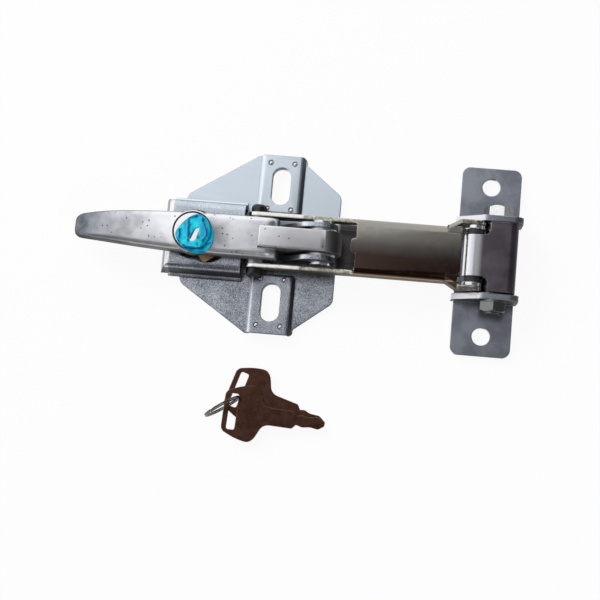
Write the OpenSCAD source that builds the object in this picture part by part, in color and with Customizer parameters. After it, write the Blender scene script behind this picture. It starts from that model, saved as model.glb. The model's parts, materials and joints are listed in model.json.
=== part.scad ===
// Draw latch with a key-locked handle, for an engine cover, with its keeper and two keys.
// X runs along the pull, from the grip's tip to the keeper. Y runs across and Z out of the panel.
// The origin lies on the panel, midway between the two slotted mounting holes.

/* [Base plate] */
// Distance between the centres of the two mounting slots
slot_pitch = 60; // [57:0.5:64]
// Width of a mounting slot
slot_w = 9.5; // [8:0.5:11]
// Length of a mounting slot, across the plate
slot_len = 19.5; // [16:0.5:21]
// Thickness of the base plate's sheet
base_sheet = 2; // [1.5:0.1:2.5]
// Height of a slotted pad above the plate
pad_rise = 3; // [2.5:0.1:3.2]
// Width of a pad's flat top
pad_w = 20.5; // [19:0.5:22]
// Run of a pad's sloping flanks
pad_flank = 2; // [1.5:0.1:3]
// Run of the slope at a pad's inner end
pad_slope = 1; // [0.8:0.1:1.6]
// Distance from the middle to a pad's inner edge
pad_inner = 15; // [14.8:0.1:16]
// Half the width of the plate, across both pads
plate_half = 46; // [44:0.5:50]
// Distance from the slots back to the left wing's corner
wing_back = 47.7; // [40:0.5:50]
// Half the width between the left wings' corners
wing_back_half = 22.8; // [21:0.2:26]
// Distance from the handle's pivot to the plate's right edge
wing_front = 7.7; // [7.5:0.1:14]
// Half the width between the right wings' corners
wing_front_half = 27.5; // [22:0.5:32]
// Radius of the wings' corners
wing_round = 4.5; // [2:0.5:6]
// Half the width of the plate's tongue under the arm
under_half = 11; // [9.5:0.1:11.5]
// Length of that tongue
under_len = 13; // [11:0.5:15]
// Distance from a slot to a weld dimple, across the plate
dimple_pitch = 12; // [11:0.2:13]

/* [Lock housing] */
// Length of the housing that the handle closes on
housing_len = 41.5; // [38:0.5:44]
// Half the width of the housing's top
housing_half = 17.3; // [16.5:0.1:19]
// How much wider each wall stands at its foot
housing_draft = 1.6; // [0.5:0.1:3]
// Height of the housing's top above the panel
housing_top = 14; // [13:0.2:16]
// Thickness of the housing's sheet
housing_sheet = 2; // [1.5:0.1:2.2]
// How far the housing's left end leans in at its top
housing_slant = 3; // [2:0.2:4]
// Radius of the housing's long edges
housing_edge = 4; // [3:0.2:5]
// Radius of the opening round the lock
lock_opening = 12.4; // [12:0.1:13]

/* [Handle] */
// Distance from the plate's slots to the handle's pivot
pivot_x = 23.5; // [22:0.5:25]
// Length of the handle, from its pivot to its tip
handle_len = 125; // [115:1:140]
// Half the width of the handle at its root
root_half = 10.4; // [9.5:0.1:10.8]
// Half the width of the grip at its tip
tip_half = 5.7; // [5:0.1:7]
// Thickness of the handle's body
handle_t = 8.7; // [8:0.1:10]
// How far the grip's tip bends down
tip_drop = 8; // [5:0.5:8.5]
// Thickness of the grip at its tip
tip_t = 4.6; // [4:0.1:6]
// Length of the grip's bent end
tip_bend = 24; // [18:1:30]
// Wall of the hollow grip
grip_wall = 2.6; // [2:0.1:3.5]
// Half the width of the tongue between the ears
tongue_half = 5.5; // [5:0.1:6]
// Radius of the tongue's round end
tongue_r = 10.4; // [9.8:0.1:11]
// Length of the tongue's raised rib behind the pivot
rib_len = 31; // [26:0.5:34]
// Diameter of the handle's pivot pin
pivot_d = 7; // [6:0.5:8]

/* [Lock] */
// Distance from the handle's pivot to the lock
lock_arm = 64; // [62:0.5:66]
// Radius of the boss round the lock
boss_r = 10.9; // [10.6:0.1:11.5]
// Diameter of the lock's face
lock_face_d = 18.4; // [17.5:0.1:19]
// Diameter of the lock's barrel
barrel_d = 16; // [15:0.5:16.5]
// Diameter of the turning plug
plug_d = 11; // [10:0.5:12]
// Reach of the cam from the lock's axis
cam_reach = 14.4; // [14:0.1:14.8]
// Width of the cam
cam_w = 7; // [6:0.5:8]
// Thickness of the cam
cam_t = 2; // [1.5:0.1:2.2]
// Thickness of the lock's retaining nut
lock_nut_t = 2.5; // [2:0.1:2.6]
// Thickness of the protective film
film_t = 0.3; // [0.2:0.05:0.4]

/* [Pull arm] */
// Distance from the handle's pivot back to the arm's pivot
crank_len = 33; // [32:0.5:34]
// Depth of the arm's pivot below the handle's pivot
crank_drop = 6; // [5:0.5:6.5]
// Length of the arm between its two pins
arm_len = 108.9; // [100:1:125]
// Thickness of the arm's sheet
arm_sheet = 2; // [1.5:0.1:2.2]
// Radius of the arm's round end
arm_end_r = 5; // [4.6:0.1:5.3]
// Depth of the channel's flanges
flange_depth = 9.6; // [9:0.2:12]
// Outer radius of the channel's bends
arm_bend = 4; // [3:0.2:4.5]
// Length of the channel's web
web_len = 52.5; // [46:0.5:53]
// Diameter of the arm's pivot pin
arm_pin_d = 6; // [5:0.5:6.5]

/* [Hook] */
// Thickness of the hook's sheet
hook_sheet = 2.5; // [2:0.1:2.8]
// Half the width of the hook plate
hook_half = 17.5; // [16.5:0.1:19]
// Half the length of the hook's knuckle
knuckle_half = 10.4; // [9:0.2:12]
// Diameter of the hook's hinge pin
hook_pin_d = 5; // [4.5:0.1:5.4]
// Depth of the hook's lip below the striker's axis
lip_drop = 4; // [2:0.5:5]

/* [Keeper] */
// Thickness of the keeper's sheet
keeper_sheet = 3; // [2.5:0.1:3.5]
// Width of the keeper, along the pull
keeper_w = 30; // [28:0.5:33]
// Half the length of the keeper
keeper_half = 48; // [46:0.5:54]
// Distance between the keeper's two holes
keeper_pitch = 76.4; // [74:0.2:80]
// Diameter of the keeper's holes
keeper_hole_d = 9; // [8:0.5:11]
// Distance from the holes to the striker, along the pull
striker_offset = 4; // [3:0.2:5]
// Radius of the keeper's corners
keeper_round = 4; // [2:0.5:6]
// How far the keeper's ears reach past its edges
ear_overhang = 1.5; // [0.5:0.1:2.5]
// Height of the keeper's ears above the striker's axis
ear_rise = 7.4; // [7:0.1:9]
// Diameter of the striker bolt
bolt_d = 8; // [7:0.5:8.5]
// Width across the flats that fits above the keeper's strip
hex_af = 14; // [13:0.5:15]
// Height of the bolt's head
head_h = 5.5; // [5:0.1:7]
// Height of the nut
nut_h = 5; // [4.5:0.1:6.5]
// Radius of the striker's roller
roller_r = 6.5; // [6:0.1:6.8]

/* [Keys] */
// Thickness of a key
key_t = 1.8; // [1.5:0.1:2]
// Length of a key's blade
blade_len = 15; // [12:0.5:17]
// Length of a key's shank
shank_len = 15.5; // [12:0.5:18]
// Half the height of a key's head
key_head_half = 15; // [13.5:0.5:16]
// Diameter of the key ring, to the middle of its wire
ring_d = 18.4; // [17.5:0.1:19.5]
// Diameter of the key ring's wire
ring_wire = 1.5; // [1.2:0.1:1.6]

/* [Hidden] */
$fn = 64;

// Fits and gaps
pin_clear = 0.05;
run_gap = 0.35;
seat_gap = 0.3;
side_gap = 0.6;
cut = 1;

// Pivot of the handle on the base, with room for the tongue to turn over the bracket's web
bracket_sheet = 2.5;
sweep_gap = 0.5;
pivot_z = base_sheet + bracket_sheet + sweep_gap + tongue_r;
washer_t = 1.4;
ear_in = tongue_half + washer_t + 0.1;
ear_out = ear_in + bracket_sheet;
ear_r = tongue_r - 2.4;
bracket_tail = 13;
bracket_left = pivot_x - ear_r - bracket_tail;
bracket_right = pivot_x + ear_r - 0.6;
plate_right = pivot_x + wing_front;
pin_head_t = 1.6;

// Pivot of the arm on the handle
arm_x = pivot_x - crank_len;
arm_z = pivot_z - crank_drop;
arm_in = ear_out + pin_head_t + 1;
arm_out = arm_in + arm_sheet;
cap_len = 4.4;

// Striker in the keeper, and the hook over it
hex_clear = 0.2;
striker_z = keeper_sheet + max(hex_af / 2 + hex_clear, roller_r + run_gap);
knuckle_r = hook_pin_d / 2 + pin_clear + hook_sheet;
hook_rise = roller_r + seat_gap + hook_sheet - knuckle_r;
hook_reach = sqrt(pow(knuckle_r + roller_r + run_gap, 2) - pow(hook_rise, 2));
hook_x = arm_x + arm_len;
hook_z = striker_z + hook_rise;
striker_x = hook_x + hook_reach;
lip_gap = 1.2;
lip_in = striker_x + roller_r + lip_gap;
lip_out = lip_in + hook_sheet;
hook_top = hook_z + knuckle_r;
notch_reach = knuckle_r + 2.5;
clevis_in = hook_half - arm_sheet;
keeper_in = hook_half + side_gap;
keeper_out = keeper_in + keeper_sheet;
keeper_x = striker_x - striker_offset;

// Arm's web and the jog out to the hook's width
web_top = hook_top - 1;
web_right = hook_x - knuckle_r - 1.3;
web_left = web_right - web_len;
jog_start = web_right - 7;
jog_len = 6;
arm_edge_z = web_top - arm_bend + 0.8;

// Housing beside the arm's end, and the handle over it
housing_right = arm_x - arm_end_r - 1.5;
housing_left = housing_right - housing_len;
handle_z = housing_top + seat_gap;
handle_top = handle_z + handle_t;
tip_x = pivot_x - handle_len;
root_x = housing_right - 5;
body_end = pivot_x - tongue_r - 11;
body_round = 6;
lock_x = pivot_x - lock_arm;
boss_proud = 0.3;
boss_low = handle_z - 0.1;
lug_half = root_half - 0.3;
bend_x = tip_x + tip_bend;

// Lock, from its face down to the cam under the housing's top
face_rim = 1.6;
rim_z = handle_top + boss_proud - face_rim;
face_z = handle_top + boss_proud + 0.6;
barrel_low = boss_low - lock_nut_t - 0.5;
cam_top = barrel_low - 0.3;
cam_low = cam_top - cam_t;
cam_angle = -55;
tail_w = 5;
keyway_w = 2.2;
keyway_len = 8;
keyway_turn = -20;

// Keys lie one on the other, fanned about the tip, with their heads raised by the ring's wire
key_tip = [32.5, -88.7];
key_lie = -10;
key_fan = 7;
key_lift = ring_wire + 1.3;
key_gap = 0.05;
key_round = 3;
head_len = 20.6;
key_len = blade_len + shank_len + head_len;
key_slot_w = 5;
key_slot_half = 9;
key_slot_x = -key_len + 5;
key_pitch = asin(key_lift / key_len);
ring_turn = 34;
ring_rise = (ring_d + ring_wire) / 2;
ring_shift = sqrt(pow(ring_d / 2, 2) - pow(ring_rise - key_lift - key_t, 2)) - 0.7;

// Helpers for outlines with rounded corners, each point given as [x, y, radius]
function flat(p) = [p[0], p[1]];
function unit(v) = v / norm(v);
function before(p, i) = p[(i + len(p) - 1) % len(p)];
function after(p, i) = p[(i + 1) % len(p)];
function back_way(p, i) = unit(flat(before(p, i)) - flat(p[i]));
function on_way(p, i) = unit(flat(after(p, i)) - flat(p[i]));
function half_angle(p, i) = acos(back_way(p, i) * on_way(p, i)) / 2;
function turns_left(p, i) = cross(on_way(p, i), back_way(p, i)) > 0;
function arc_reach(p, i) = p[i][2] / tan(half_angle(p, i));
function arc_centre(p, i) =
    flat(p[i]) + unit(back_way(p, i) + on_way(p, i)) * p[i][2] / sin(half_angle(p, i));
function arc_ends(p, i) = p[i][2] == 0 ? [flat(p[i])] :
    [for (way = [back_way(p, i), on_way(p, i)]) flat(p[i]) + way * arc_reach(p, i)];

module corner_arc(p, i) {
    ends = arc_ends(p, i);
    intersection() {
        translate(arc_centre(p, i)) circle(p[i][2]);
        polygon([ends[0], flat(p[i]), ends[1], arc_centre(p, i)]);
    }
}

module rounded(p) {
    difference() {
        union() {
            polygon([for (i = [0:len(p) - 1]) each arc_ends(p, i)]);
            for (i = [0:len(p) - 1])
                if (p[i][2] > 0 && turns_left(p, i)) corner_arc(p, i);
        }
        for (i = [0:len(p) - 1])
            if (p[i][2] > 0 && !turns_left(p, i)) corner_arc(p, i);
    }
}

// A side view in X and Z, made as thick as y0 to y1
module side_view(y0, y1) {
    translate([0, y1, 0]) rotate([90, 0, 0]) linear_extrude(y1 - y0) children();
}

// A cross-section in Y and Z, made as long as x0 to x1
module cross_section(x0, x1) {
    translate([x0, 0, 0]) rotate([90, 0, 90]) linear_extrude(x1 - x0) children();
}

// A plan view in X and Y, made as high as z0 to z1
module plan_view(z0, z1) {
    translate([0, 0, z0]) linear_extrude(z1 - z0) children();
}

// A round bar along Y through the side view's point at
module bar_y(at, r, y0, y1) {
    translate([at[0], y1, at[1]]) rotate([90, 0, 0]) cylinder(r = r, h = y1 - y0);
}

module both_sides() {
    children();
    mirror([0, 1, 0]) children();
}

module obround(length, width) {
    square([width, length - width], center = true);
    for (side = [-1, 1]) translate([0, side * (length - width) / 2]) circle(width / 2);
}

// Rings of points joined into one smooth skin, closed at both ends
module loft(rings) {
    n = len(rings[0]);
    last = len(rings) - 1;
    polyhedron(
        points = [for (ring = rings) each ring],
        faces = concat(
            [[for (i = [0:n - 1]) i]],
            [for (k = [0:last - 1], i = [0:n - 1])
                let (j = (i + 1) % n)
                [k * n + i, (k + 1) * n + i, (k + 1) * n + j, k * n + j]],
            [[for (i = [0:n - 1]) last * n + n - 1 - i]]
        )
    );
}

// Base plate: two wings and a tongue under the arm, with a slotted pad pressed up on each side
pad_foot = pad_w / 2 + pad_flank;
pad_wall = 1.6;
pad_round = 2.2;
under_right = plate_right + under_len;
plate_outline = [
    [plate_right, -wing_front_half, wing_round], [plate_right, -under_half, 1.5],
    [under_right, -under_half, 2], [under_right, under_half, 2],
    [plate_right, under_half, 1.5], [plate_right, wing_front_half, wing_round],
    [pad_foot, plate_half - 3.5, 1], [pad_foot, plate_half, pad_round],
    [-pad_foot, plate_half, pad_round], [-wing_back, wing_back_half, wing_round],
    [-wing_back, housing_half - 1, 0], [housing_left + 1, housing_half - 1, 1],
    [housing_left + 1, 1 - housing_half, 1], [-wing_back, 1 - housing_half, 0],
    [-wing_back, -wing_back_half, wing_round], [-pad_foot, -plate_half, pad_round],
    [pad_foot, -plate_half, pad_round], [pad_foot, 3.5 - plate_half, 1]
];

module pad_form(inset, drop, fillet) {
    high = base_sheet + pad_rise - drop;
    foot = pad_foot - inset;
    flat_half = pad_w / 2 - inset / 2;
    inner = pad_inner + inset;
    outer = plate_half + drop;
    intersection() {
        side_view(0, outer)
            rounded([[-foot, -drop, 0], [foot, -drop, 0], [flat_half, high, fillet], [-flat_half, high, fillet]]);
        cross_section(-foot, foot)
            rounded([[inner, -drop, 0], [outer, -drop, 0], [outer, high, 0], [inner + pad_slope, high, min(fillet, pad_slope)]]);
        plan_view(-drop, high)
            rounded([
                [foot, outer, drop > 0 ? 0 : pad_round], [-foot, outer, drop > 0 ? 0 : pad_round],
                [-foot, inner, 2 * pad_round - inset], [foot, inner, 2 * pad_round - inset]
            ]);
    }
}

module slot_cut(depth) {
    translate([0, slot_pitch / 2, 0]) plan_view(-cut, depth) obround(slot_len, slot_w);
}

module base_plate() {
    dimple_x = slot_w / 2 + 1.4;
    top = base_sheet + pad_rise;
    color("lightsteelblue") difference() {
        union() {
            linear_extrude(base_sheet) rounded(plate_outline);
            both_sides() pad_form(0, 0, pad_round);
        }
        both_sides() {
            pad_form(pad_wall, base_sheet, 0.6);
            slot_cut(top + cut);
            for (x = [-dimple_x, dimple_x], y = [-dimple_pitch, dimple_pitch])
                translate([x, slot_pitch / 2 + y, top - 0.5]) cylinder(r = 1.3, h = cut);
        }
    }
}

// Flat plates that fill the pads from behind and take the bolts
module pad_backing() {
    y0 = pad_inner + pad_slope + 2 * pad_wall;
    half = pad_w / 2 - pad_wall / 2 - 0.6;
    color("slategray") difference() {
        plan_view(0, pad_rise)
            rounded([
                [half, y0, 2], [half, plate_half - 0.5, 2], [-half, plate_half - 0.5, 2], [-half, y0, 2]
            ]);
        slot_cut(pad_rise + cut);
    }
}

module pad_backing_upper() pad_backing();

module pad_backing_lower() mirror([0, 1, 0]) pad_backing();

// Housing: a drafted box open below and at its right end, with a turned-out foot
module housing_form(inset, x_end) {
    top = housing_top - inset;
    edge = housing_edge - inset;
    foot_half = housing_half + housing_draft - inset;
    top_half = housing_half - inset;
    low = base_sheet - (inset > 0 ? cut : 0);
    intersection() {
        cross_section(housing_left, x_end)
            rounded([
                [-foot_half, low, 0], [foot_half, low, 0],
                [top_half, top, edge], [-top_half, top, edge]
            ]);
        side_view(-foot_half, foot_half)
            rounded([
                [housing_left + inset, low, 0], [x_end, low, 0],
                [x_end, top, 0], [housing_left + housing_slant + inset, top, edge]
            ]);
    }
}

module lock_housing() {
    foot = housing_half + housing_draft;
    flange = 1.4;
    color("lightsteelblue") difference() {
        union() {
            housing_form(0, housing_right);
            both_sides()
                cross_section(housing_left + 4, housing_right)
                    rounded([
                        [foot - 1.5, base_sheet, 0], [foot + flange, base_sheet, 0],
                        [foot + flange, base_sheet + 2, 0.9], [foot - 1.5, base_sheet + 2, 0]
                    ]);
        }
        housing_form(housing_sheet, housing_right + cut);
        translate([lock_x, 0, 0]) cylinder(r = lock_opening, h = housing_top + cut);
        translate([lock_x + 7, -2.6, 0]) cylinder(r = lock_opening - 1.2, h = housing_top + cut);
    }
}

// Bracket: two ears on a common web that carry the handle's pivot pin
ear_outline = [
    [bracket_left, base_sheet, 0], [bracket_right, base_sheet, 0],
    [pivot_x + ear_r, pivot_z + ear_r, ear_r - 0.1], [pivot_x - ear_r, pivot_z + ear_r, ear_r - 0.1],
    [bracket_left, base_sheet + 5, 1.5]
];

module pivot_bracket() {
    color("silver") difference() {
        intersection() {
            side_view(-ear_out, ear_out) rounded(ear_outline);
            cross_section(bracket_left - cut, pivot_x + ear_r + cut)
                difference() {
                    rounded([
                        [-ear_out, base_sheet, bracket_sheet], [ear_out, base_sheet, bracket_sheet],
                        [ear_out, pivot_z + tongue_r, 0], [-ear_out, pivot_z + tongue_r, 0]
                    ]);
                    rounded([
                        [-ear_in, base_sheet + bracket_sheet, 0.6], [ear_in, base_sheet + bracket_sheet, 0.6],
                        [ear_in, pivot_z + tongue_r + cut, 0], [-ear_in, pivot_z + tongue_r + cut, 0]
                    ]);
                }
        }
        bar_y([pivot_x, pivot_z], pivot_d / 2 + pin_clear, -ear_out - cut, ear_out + cut);
    }
}

module pivot_pin() {
    color("gainsboro") {
        bar_y([pivot_x, pivot_z], pivot_d / 2, -ear_out - pin_head_t, ear_out);
        bar_y([pivot_x, pivot_z], pivot_d / 2 + 1.6, ear_out, ear_out + pin_head_t);
    }
}

module pivot_clip() {
    color("gainsboro") difference() {
        bar_y([pivot_x, pivot_z], pivot_d / 2 + 1.8, -ear_out - pin_head_t, -ear_out);
        bar_y([pivot_x, pivot_z], pivot_d / 2 + pin_clear, -ear_out - 2 * pin_head_t, -ear_out + cut);
    }
}

module pivot_washers() {
    color("dimgray") both_sides() difference() {
        bar_y([pivot_x, pivot_z], ear_r - 0.6, ear_in - washer_t, ear_in);
        bar_y([pivot_x, pivot_z], pivot_d / 2 + pin_clear, tongue_half, ear_in + cut);
    }
}

// Handle: a tapered hollow grip, a boss round the lock, a lug for the arm and a tongue for the pivot
function grip_half(x) = root_half - (root_half - tip_half) * pow(max(0, root_x - x) / (root_x - tip_x), 2);
function bend(x) = pow(max(0, bend_x - x) / tip_bend, 2);
function body_fall(x) =
    x < body_end - body_round ? 0 : body_round - sqrt(pow(body_round, 2) - pow(x - body_end + body_round, 2));
function grip_top(x) = handle_top - tip_drop * bend(x) - body_fall(x);
function grip_low(x) = handle_z - (tip_drop - handle_t + tip_t) * bend(x);
function nose(x) = let (run = 4) x > tip_x + run ? 0 : 1 - sqrt(1 - pow(1 - (x - tip_x) / run, 2));
arc_steps = 6;

// One ring round the grip at x, with soft upper corners
function grip_ring(x, inset, low) =
    let (
        half = grip_half(x) - inset - 2.4 * nose(x),
        top = grip_top(x) - inset - 1.6 * nose(x),
        r = min(3 - 0.6 * inset, (top - low) * 0.6)
    )
    concat(
        [for (i = [0:arc_steps])
            let (a = 90 * i / arc_steps)
            [x, half - r + r * cos(a), top - r + r * sin(a)]],
        [for (i = [0:arc_steps])
            let (a = 90 + 90 * i / arc_steps)
            [x, r - half + r * cos(a), top - r + r * sin(a)]],
        [[x, -half, low], [x, half, low]]
    );

grip_steps = concat(
    [for (i = [0:5]) tip_x + 4 * pow(i / 5, 2) + 0.02],
    [for (i = [1:12]) tip_x + 4 + (root_x - tip_x - 4) * i / 12],
    [for (i = [1:3]) root_x + (body_end - body_round - root_x) * i / 3],
    [for (i = [1:5]) body_end - body_round + body_round * sin(17 * i)]
);

module grip_hollow(x0, x1) {
    steps = 8;
    loft([for (i = [0:steps])
        let (x = x0 + (x1 - x0) * i / steps)
        grip_ring(x, grip_wall, grip_low(x) - cut)]);
}

module handle_tongue() {
    top = pivot_z + tongue_r;
    intersection() {
        side_view(-tongue_half, tongue_half) {
            translate([pivot_x, pivot_z]) circle(tongue_r);
            rounded([
                [pivot_x - rib_len, handle_z, 0], [arm_x + arm_end_r, arm_z - 1, 0],
                [pivot_x, pivot_z - tongue_r, 0], [pivot_x, top, 0], [pivot_x - rib_len, top, 1]
            ]);
        }
        cross_section(pivot_x - rib_len - cut, pivot_x + tongue_r + cut)
            rounded([
                [-tongue_half, 0, 0], [tongue_half, 0, 0], [tongue_half, top, 1.2], [-tongue_half, top, 1.2]
            ]);
    }
}

module handle() {
    color("whitesmoke") difference() {
        union() {
            loft([for (x = grip_steps) grip_ring(x, 0, grip_low(x))]);
            translate([lock_x, 0, 0]) rotate_extrude()
                rounded([
                    [0, boss_low, 0], [boss_r, boss_low, 0],
                    [boss_r, handle_top + boss_proud, 1.8], [0, handle_top + boss_proud, 0]
                ]);
            side_view(-lug_half, lug_half)
                rounded([
                    [arm_x - arm_end_r, handle_z + 1, 0], [arm_x - arm_end_r, arm_z - arm_end_r, arm_end_r - 0.1],
                    [arm_x + arm_end_r, arm_z - arm_end_r, arm_end_r - 0.1], [arm_x + arm_end_r, handle_z + 1, 0]
                ]);
            handle_tongue();
        }
        grip_hollow(tip_x + 7, lock_x - boss_r - 1);
        grip_hollow(lock_x + boss_r + 1, arm_x - arm_end_r - 2);
        translate([lock_x, 0, 0]) cylinder(r = barrel_d / 2 + pin_clear, h = handle_top + cut);
        translate([lock_x, 0, rim_z]) cylinder(r = lock_face_d / 2 + 0.35, h = face_rim + cut);
        bar_y([pivot_x, pivot_z], pivot_d / 2 + pin_clear, -root_half, root_half);
        bar_y([arm_x, arm_z], arm_pin_d / 2 + pin_clear, -root_half - cut, root_half + cut);
    }
}

// Lock: flanged barrel held by a nut, a plug that turns in it, and the cam on the plug's tail
module lock_barrel() {
    color("gainsboro") difference() {
        translate([lock_x, 0, 0]) rotate_extrude()
            rounded([
                [0, barrel_low, 0], [barrel_d / 2, barrel_low, 0.5],
                [barrel_d / 2, rim_z, 0], [lock_face_d / 2, rim_z, 0],
                [lock_face_d / 2, face_z, 0.8], [0, face_z, 0]
            ]);
        translate([lock_x, 0, 0]) cylinder(r = plug_d / 2 + pin_clear, h = face_z + cut);
    }
}

module lock_nut() {
    nut_af = barrel_d + 3;
    color("goldenrod") translate([lock_x, 0, boss_low - lock_nut_t]) difference() {
        cylinder(d = nut_af / cos(30), h = lock_nut_t, $fn = 6);
        translate([0, 0, -cut]) cylinder(r = barrel_d / 2 + pin_clear, h = lock_nut_t + 2 * cut);
    }
}

film_round = lock_face_d / 5;
film_corners = [[-0.93, 0.1], [-0.62, -0.8], [0.3, -1.25], [1.2, -1.05], [1.22, 0.45], [0.5, 0.98], [-0.25, 0.88]];
film_outline = [for (p = film_corners) [p[0] * lock_face_d / 2, p[1] * lock_face_d / 2, film_round]];

module lock_film() {
    color("deepskyblue") translate([lock_x, 0, face_z]) difference() {
        linear_extrude(film_t)
            rounded(film_outline);
        translate([0, 0, -cut]) linear_extrude(3 * cut) rotate(keyway_turn) obround(keyway_len + 1, keyway_w + 0.6);
    }
}

module lock_plug() {
    color("silver") translate([lock_x, 0, 0]) difference() {
        union() {
            translate([0, 0, barrel_low]) cylinder(d = plug_d, h = face_z - barrel_low - 0.3);
            translate([-tail_w / 2, -tail_w / 2, cam_low]) cube([tail_w, tail_w, barrel_low - cam_low + cut]);
        }
        translate([0, 0, cam_top + 2])
            linear_extrude(face_z) rotate(keyway_turn) square([keyway_w, keyway_len], center = true);
        translate([0, 0, cam_low - cut]) cylinder(d = 2.6, h = 3 * cut);
    }
}

module lock_cam() {
    color("gold") translate([lock_x, 0, cam_low]) rotate(cam_angle) difference() {
        linear_extrude(cam_t)
            rounded([
                [-6, -cam_w / 2 - 1, 3], [cam_reach, -cam_w / 2, 1.5],
                [cam_reach, cam_w / 2, 1.5], [-6, cam_w / 2 + 1, 3]
            ]);
        rotate(-cam_angle) cube([tail_w + 0.1, tail_w + 0.1, 3 * cam_t], center = true);
    }
}

module cam_screw() {
    color("gainsboro") translate([lock_x, 0, cam_low]) {
        translate([0, 0, -1.8]) cylinder(d = 7.4, h = 1.8);
        cylinder(d = 2.6 - 2 * pin_clear, h = 1.9);
    }
}

// Pins and spacers at the arm's pivot on the handle
module domed_end(y0) {
    translate([arm_x, y0, arm_z]) rotate([-90, 0, 0]) rotate_extrude()
        rounded([[0, 0, 0], [arm_pin_d / 2 + 0.9, 0, 0], [arm_pin_d / 2 + 0.9, cap_len, 1.9], [0, cap_len, 0]]);
}

module arm_pin() {
    color("dimgray") {
        bar_y([arm_x, arm_z], arm_pin_d / 2, -arm_out - cap_len + 1.4, arm_out + pin_clear);
        domed_end(arm_out + pin_clear);
    }
}

module arm_pin_cap() {
    color("dimgray") difference() {
        mirror([0, 1, 0]) domed_end(arm_out + pin_clear);
        bar_y([arm_x, arm_z], arm_pin_d / 2 + pin_clear, -arm_out - cap_len + 1.3, -arm_out + cut);
    }
}

module arm_washers() {
    color("dimgray") both_sides() difference() {
        bar_y([arm_x, arm_z], arm_end_r - 0.4, lug_half, arm_in - pin_clear);
        bar_y([arm_x, arm_z], arm_pin_d / 2 + pin_clear, lug_half - cut, arm_in + cut);
    }
}

// Pull arm: a channel whose web is cut away over the handle and whose flanges jog out to a clevis
arm_low = arm_z - arm_end_r;
clevis_low = hook_z - knuckle_r;
flange_low = web_top - flange_depth;
arm_outline = [
    [arm_x - arm_end_r, arm_low, arm_end_r - 0.3], [web_left, flange_low, 30],
    [jog_start, flange_low, 8], [jog_start + jog_len, clevis_low, 8],
    [hook_x + knuckle_r, clevis_low, knuckle_r - 0.1], [hook_x + knuckle_r, hook_top, knuckle_r - 0.1],
    [jog_start + jog_len, hook_top, 4], [jog_start, web_top, 4],
    [web_left, web_top, 0.6], [web_left, arm_edge_z, 1.5],
    [pivot_x - 11, arm_edge_z, 10], [arm_x - arm_end_r, arm_z + arm_end_r, arm_end_r - 0.3]
];
nib_half = 3.7;
nib_len = 2.4;

module arm_channel() {
    cross_section(arm_x - arm_end_r - cut, jog_start + 0.01)
        difference() {
            rounded([
                [-arm_out, 0, 0], [arm_out, 0, 0],
                [arm_out, web_top, arm_bend], [-arm_out, web_top, arm_bend]
            ]);
            rounded([
                [-arm_in, -cut, 0], [arm_in, -cut, 0],
                [arm_in, web_top - arm_sheet, arm_bend - arm_sheet],
                [-arm_in, web_top - arm_sheet, arm_bend - arm_sheet]
            ]);
        }
}

module arm_jog() {
    plan_view(0, hook_top + cut)
        rounded([
            [jog_start, arm_in, 0], [jog_start + 0.8, arm_in, 1.5], [jog_start + jog_len + 0.4, clevis_in, 1.5],
            [hook_x + knuckle_r + cut, clevis_in, 0], [hook_x + knuckle_r + cut, hook_half, 0],
            [jog_start + jog_len - 0.2, hook_half, 3], [jog_start + 0.2, arm_out, 3], [jog_start, arm_out, 0]
        ]);
}

module pull_arm() {
    color("beige") difference() {
        union() {
            intersection() {
                side_view(-hook_half, hook_half) rounded(arm_outline);
                union() {
                    arm_channel();
                    both_sides() arm_jog();
                }
            }
            plan_view(web_top - arm_sheet, web_top)
                rounded([
                    [jog_start - 2, -knuckle_half, 0], [web_right, -knuckle_half, 2],
                    [web_right, knuckle_half, 2], [jog_start - 2, knuckle_half, 0]
                ]);
            plan_view(web_top - arm_sheet, web_top)
                rounded([
                    [web_left - nib_len, -nib_half, 2], [web_left + 1, -nib_half, 0],
                    [web_left + 1, nib_half, 0], [web_left - nib_len, nib_half, 2]
                ]);
        }
        bar_y([arm_x, arm_z], arm_pin_d / 2 + pin_clear, -arm_out - cut, arm_out + cut);
        bar_y([hook_x, hook_z], hook_pin_d / 2 + pin_clear, -hook_half - cut, hook_half + cut);
    }
}

module hook_pin() {
    color("gainsboro") bar_y([hook_x, hook_z], hook_pin_d / 2, -hook_half, hook_half);
}

module hook_spacers() {
    color("black") both_sides() difference() {
        bar_y([hook_x, hook_z], knuckle_r - 0.6, knuckle_half + pin_clear, clevis_in - pin_clear);
        bar_y([hook_x, hook_z], hook_pin_d / 2 + pin_clear, knuckle_half - cut, clevis_in + cut);
    }
}

// Hook: a plate rolled round its pin at one end and bent down behind the striker at the other
module hook_plate() {
    lip_low = striker_z - lip_drop;
    color("lightslategray") difference() {
        union() {
            side_view(-hook_half, hook_half)
                rounded([
                    [hook_x, hook_top - hook_sheet, 0], [lip_in, hook_top - hook_sheet, 1.8],
                    [lip_in, lip_low, 0.9], [lip_out, lip_low, 0.9],
                    [lip_out, hook_top, 1.8 + hook_sheet], [hook_x, hook_top, 0]
                ]);
            bar_y([hook_x, hook_z], knuckle_r, -knuckle_half, knuckle_half);
        }
        both_sides()
            plan_view(0, hook_top + cut)
                rounded([
                    [hook_x - knuckle_r - cut, knuckle_half, 0], [hook_x + notch_reach, knuckle_half, 4],
                    [hook_x + notch_reach, hook_half + cut, 0], [hook_x - knuckle_r - cut, hook_half + cut, 0]
                ]);
        bar_y([hook_x, hook_z], hook_pin_d / 2 + pin_clear, -hook_half, hook_half);
    }
}

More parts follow.
